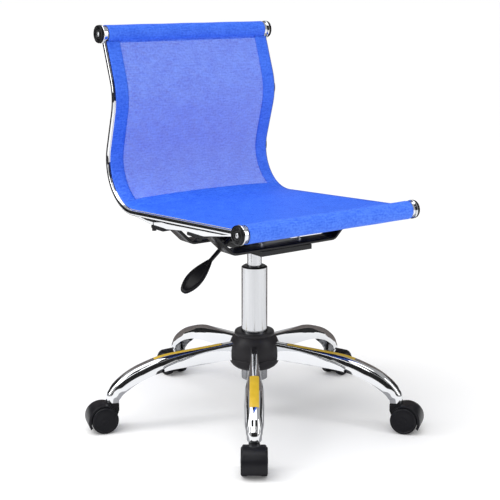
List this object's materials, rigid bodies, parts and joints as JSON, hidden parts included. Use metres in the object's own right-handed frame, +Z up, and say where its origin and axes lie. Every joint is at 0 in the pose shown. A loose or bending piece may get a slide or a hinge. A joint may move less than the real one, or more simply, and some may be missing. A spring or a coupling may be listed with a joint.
{
  "type": "swivel office chair",
  "caption": "Armless swivel office chair with a blue mesh sling between chromed side rails, on a gas-lift column and a castor base.",
  "frame": {"origin": "on the floor, on the axis of the column", "axes": "+Z up, the sitter faces -Y, +X is the sitter's left"},
  "size_m": [0.6458, 0.6141, 0.7495],
  "materials": {
    "chrome": "polished",
    "zinc_steel": "satin",
    "black_steel": "satin",
    "black_plastic": "satin",
    "castor_wheel": "matte",
    "blue_mesh": "matte",
    "amber_label": "matte"
  },
  "bodies": {
    "base": {"arm_1": "chrome", "arm_2": "chrome", "arm_3": "chrome", "arm_4": "chrome", "arm_5": "chrome", "hub_sleeve": "zinc_steel", "hub_upper_cover": "black_plastic", "hub_lower_cover": "black_plastic", "arm_labels": "amber_label", "column_tube": "chrome", "tube_bush": "black_plastic", "thrust_bearing": "zinc_steel"},
    "column_rod": {"piston_rod": "zinc_steel", "rod_clip": "zinc_steel"},
    "seat": {"gas_cylinder": "chrome", "cylinder_guide": "zinc_steel", "mechanism_plate": "black_steel", "taper_cup": "zinc_steel", "lever_bracket": "black_steel", "lever_pin": "zinc_steel", "front_crossbar": "black_steel", "rear_crossbar": "black_steel", "bar_bolts": "black_steel", "plate_bolts": "zinc_steel", "rail_left": "chrome", "rail_right": "chrome", "rail_plugs": "black_plastic", "top_roll_tube": "zinc_steel", "front_roll_tube": "zinc_steel", "roll_plugs": "zinc_steel", "end_caps": "black_plastic", "cap_washers": "chrome", "cap_screws": "zinc_steel", "mesh_back": "blue_mesh", "mesh_seat": "blue_mesh", "top_pocket": "blue_mesh", "front_pocket": "blue_mesh"},
    "lever": {"lever_rod": "black_steel", "lever_paddle": "black_plastic"},
    "button": {"release_button": "zinc_steel"},
    "castor_1": {"castor_1_hood": "black_plastic", "castor_1_pins": "zinc_steel"},
    "castor_1_wheel_a": {"castor_1_wheel_a": "castor_wheel"},
    "castor_1_wheel_b": {"castor_1_wheel_b": "castor_wheel"},
    "castor_2": {"castor_2_hood": "black_plastic", "castor_2_pins": "zinc_steel"},
    "castor_2_wheel_a": {"castor_2_wheel_a": "castor_wheel"},
    "castor_2_wheel_b": {"castor_2_wheel_b": "castor_wheel"},
    "castor_3": {"castor_3_hood": "black_plastic", "castor_3_pins": "zinc_steel"},
    "castor_3_wheel_a": {"castor_3_wheel_a": "castor_wheel"},
    "castor_3_wheel_b": {"castor_3_wheel_b": "castor_wheel"},
    "castor_4": {"castor_4_hood": "black_plastic", "castor_4_pins": "zinc_steel"},
    "castor_4_wheel_a": {"castor_4_wheel_a": "castor_wheel"},
    "castor_4_wheel_b": {"castor_4_wheel_b": "castor_wheel"},
    "castor_5": {"castor_5_hood": "black_plastic", "castor_5_pins": "zinc_steel"},
    "castor_5_wheel_a": {"castor_5_wheel_a": "castor_wheel"},
    "castor_5_wheel_b": {"castor_5_wheel_b": "castor_wheel"}
  },
  "joints": [
    {"name": "seat_swivel", "type": "hinge", "parent": "base", "child": "column_rod", "pos_m": [0, 0, 0.2], "axis": [0, 0, 1], "continuous": true},
    {"name": "seat_lift", "type": "slide", "parent": "column_rod", "child": "seat", "axis": [0, 0, 1], "range_m": [0, 0.1]},
    {"name": "lever_pull", "type": "hinge", "parent": "seat", "child": "lever", "pos_m": [-0.036, -0.008, 0.376], "axis": [0, 1, 0], "range_deg": [0, 4.7], "stiffness_Nm_per_rad": 2},
    {"name": "button_press", "type": "slide", "parent": "seat", "child": "button", "axis": [0, 0, -1], "range_m": [0, 0.003], "stiffness_N_per_m": 400},
    {"name": "castor_1_swivel", "type": "hinge", "parent": "base", "child": "castor_1", "pos_m": [-0.16634, -0.22895, 0.06], "axis": [0, 0, 1], "continuous": true},
    {"name": "castor_1_roll_a", "type": "hinge", "parent": "castor_1", "child": "castor_1_wheel_a", "pos_m": [-0.17634, -0.24271, 0.0255], "axis": [0.809, -0.5878, 0], "continuous": true},
    {"name": "castor_1_roll_b", "type": "hinge", "parent": "castor_1", "child": "castor_1_wheel_b", "pos_m": [-0.17634, -0.24271, 0.0255], "axis": [0.809, -0.5878, 0], "continuous": true},
    {"name": "castor_2_swivel", "type": "hinge", "parent": "base", "child": "castor_2", "pos_m": [0.16634, -0.22895, 0.06], "axis": [0, 0, 1], "continuous": true},
    {"name": "castor_2_roll_a", "type": "hinge", "parent": "castor_2", "child": "castor_2_wheel_a", "pos_m": [0.17634, -0.24271, 0.0255], "axis": [0.809, 0.5878, 0], "continuous": true},
    {"name": "castor_2_roll_b", "type": "hinge", "parent": "castor_2", "child": "castor_2_wheel_b", "pos_m": [0.17634, -0.24271, 0.0255], "axis": [0.809, 0.5878, 0], "continuous": true},
    {"name": "castor_3_swivel", "type": "hinge", "parent": "base", "child": "castor_3", "pos_m": [0.26915, 0.08745, 0.06], "axis": [0, 0, 1], "continuous": true},
    {"name": "castor_3_roll_a", "type": "hinge", "parent": "castor_3", "child": "castor_3_wheel_a", "pos_m": [0.28532, 0.0927, 0.0255], "axis": [-0.309, 0.9511, 0], "continuous": true},
    {"name": "castor_3_roll_b", "type": "hinge", "parent": "castor_3", "child": "castor_3_wheel_b", "pos_m": [0.28532, 0.0927, 0.0255], "axis": [-0.309, 0.9511, 0], "continuous": true},
    {"name": "castor_4_swivel", "type": "hinge", "parent": "base", "child": "castor_4", "pos_m": [0, 0.283, 0.06], "axis": [0, 0, 1], "continuous": true},
    {"name": "castor_4_roll_a", "type": "hinge", "parent": "castor_4", "child": "castor_4_wheel_a", "pos_m": [0, 0.3, 0.0255], "axis": [-1, 0, 0], "continuous": true},
    {"name": "castor_4_roll_b", "type": "hinge", "parent": "castor_4", "child": "castor_4_wheel_b", "pos_m": [0, 0.3, 0.0255], "axis": [-1, 0, 0], "continuous": true},
    {"name": "castor_5_swivel", "type": "hinge", "parent": "base", "child": "castor_5", "pos_m": [-0.26915, 0.08745, 0.06], "axis": [0, 0, 1], "continuous": true},
    {"name": "castor_5_roll_a", "type": "hinge", "parent": "castor_5", "child": "castor_5_wheel_a", "pos_m": [-0.28532, 0.0927, 0.0255], "axis": [-0.309, -0.9511, 0], "continuous": true},
    {"name": "castor_5_roll_b", "type": "hinge", "parent": "castor_5", "child": "castor_5_wheel_b", "pos_m": [-0.28532, 0.0927, 0.0255], "axis": [-0.309, -0.9511, 0], "continuous": true}
  ],
  "couplings": [
    {"joint": "button_press", "follows": "lever_pull", "m_per_rad": 0.036}
  ]
}
